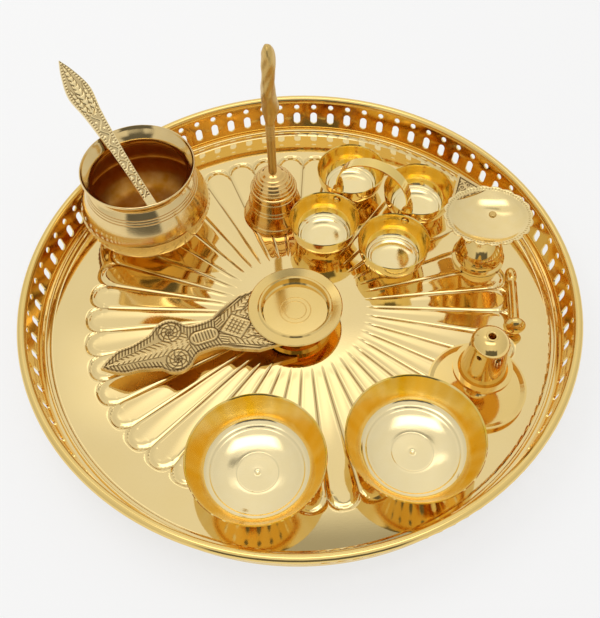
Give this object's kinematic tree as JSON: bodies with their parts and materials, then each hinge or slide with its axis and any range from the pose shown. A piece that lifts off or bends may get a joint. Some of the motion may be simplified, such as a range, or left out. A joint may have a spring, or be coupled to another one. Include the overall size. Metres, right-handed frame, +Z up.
{
  "type": "puja thali set",
  "caption": "Round brass tray with a pierced gallery wall, set with loose ritual pieces: water pot and ladle, bell, joined cups, lamps, incense holder and offering bowls.",
  "frame": {"origin": "centre of the tray's flat underside, level with the surface it stands on", "axes": "+Z up, +Y away from the viewer, +X to the viewer's right"},
  "size_m": [0.3, 0.3, 0.1244],
  "materials": {
    "tray_brass": "polished",
    "gallery_brass": "polished",
    "spun_brass": "satin",
    "antiqued_brass": "engraved, dark in the recesses",
    "cast_brass": "polished casting",
    "polished_brass": "polished"
  },
  "bodies": {
    "tray": {"tray_floor": "tray_brass", "tray_ledge": "tray_brass", "gallery_strip_back": "gallery_brass", "gallery_strip_left": "gallery_brass", "gallery_strip_front": "gallery_brass", "gallery_strip_right": "gallery_brass", "rim_bead": "gallery_brass", "rim_wire": "gallery_brass"},
    "water_pot": {"pot_lower": "spun_brass", "pot_band": "spun_brass", "pot_upper": "spun_brass"},
    "ladle": {"ladle": "antiqued_brass"},
    "bell": {"bell_body": "cast_brass", "bell_handle": "cast_brass", "bell_yoke": "cast_brass", "bell_pin": "cast_brass"},
    "clapper": {"bell_clapper": "cast_brass"},
    "cup_holder": {"cup_front_left": "polished_brass", "cup_front_right": "polished_brass", "cup_back_left": "polished_brass", "cup_back_right": "polished_brass", "cup_strap": "polished_brass", "cup_rivets": "polished_brass"},
    "camphor_dish": {"dish_pan": "cast_brass", "dish_foot": "cast_brass", "dish_handle": "antiqued_brass"},
    "oil_lamp": {"lamp_bowl": "cast_brass", "lamp_tab": "antiqued_brass", "lamp_foot": "cast_brass", "lamp_rivet": "cast_brass"},
    "incense_holder": {"incense_plate": "cast_brass", "incense_stem": "cast_brass", "incense_cone": "cast_brass", "incense_cap": "cast_brass"},
    "bowl_left": {"offering_bowl_left": "polished_brass"},
    "bowl_right": {"offering_bowl_right": "polished_brass"},
    "turned_stick": {"powder_stick": "cast_brass"}
  },
  "joints": [
    {"name": "pot_lift", "type": "slide", "parent": "tray", "child": "water_pot", "axis": [0, 0, 1], "range_m": [0, 0.09]},
    {"name": "ladle_lift", "type": "slide", "parent": "water_pot", "child": "ladle", "axis": [-0.3364, 0.4095, 0.848], "range_m": [0, 0.075]},
    {"name": "bell_lift", "type": "slide", "parent": "tray", "child": "bell", "axis": [-0.3581, 0.2681, 0.8943], "range_m": [0, 0.06]},
    {"name": "clapper_swing", "type": "hinge", "parent": "bell", "child": "clapper", "pos_m": [-0.0132, 0.0725, 0.0254], "axis": [1, 0, 0], "range_deg": [-28, 28]},
    {"name": "cup_holder_lift", "type": "slide", "parent": "tray", "child": "cup_holder", "axis": [0, 0, 1], "range_m": [0, 0.06]},
    {"name": "dish_lift", "type": "slide", "parent": "tray", "child": "camphor_dish", "axis": [0, 0, 1], "range_m": [0, 0.05]},
    {"name": "lamp_lift", "type": "slide", "parent": "tray", "child": "oil_lamp", "axis": [0, 0, 1], "range_m": [0, 0.06]},
    {"name": "incense_lift", "type": "slide", "parent": "tray", "child": "incense_holder", "axis": [0.3672, 0.3602, 0.8575], "range_m": [0, 0.06]},
    {"name": "bowl_left_lift", "type": "slide", "parent": "tray", "child": "bowl_left", "axis": [0, 0, 1], "range_m": [0, 0.05]},
    {"name": "bowl_right_lift", "type": "slide", "parent": "tray", "child": "bowl_right", "axis": [0, 0, 1], "range_m": [0, 0.05]},
    {"name": "stick_lift", "type": "slide", "parent": "tray", "child": "turned_stick", "axis": [0, -0.6, 0.8], "range_m": [0, 0.035]}
  ]
}
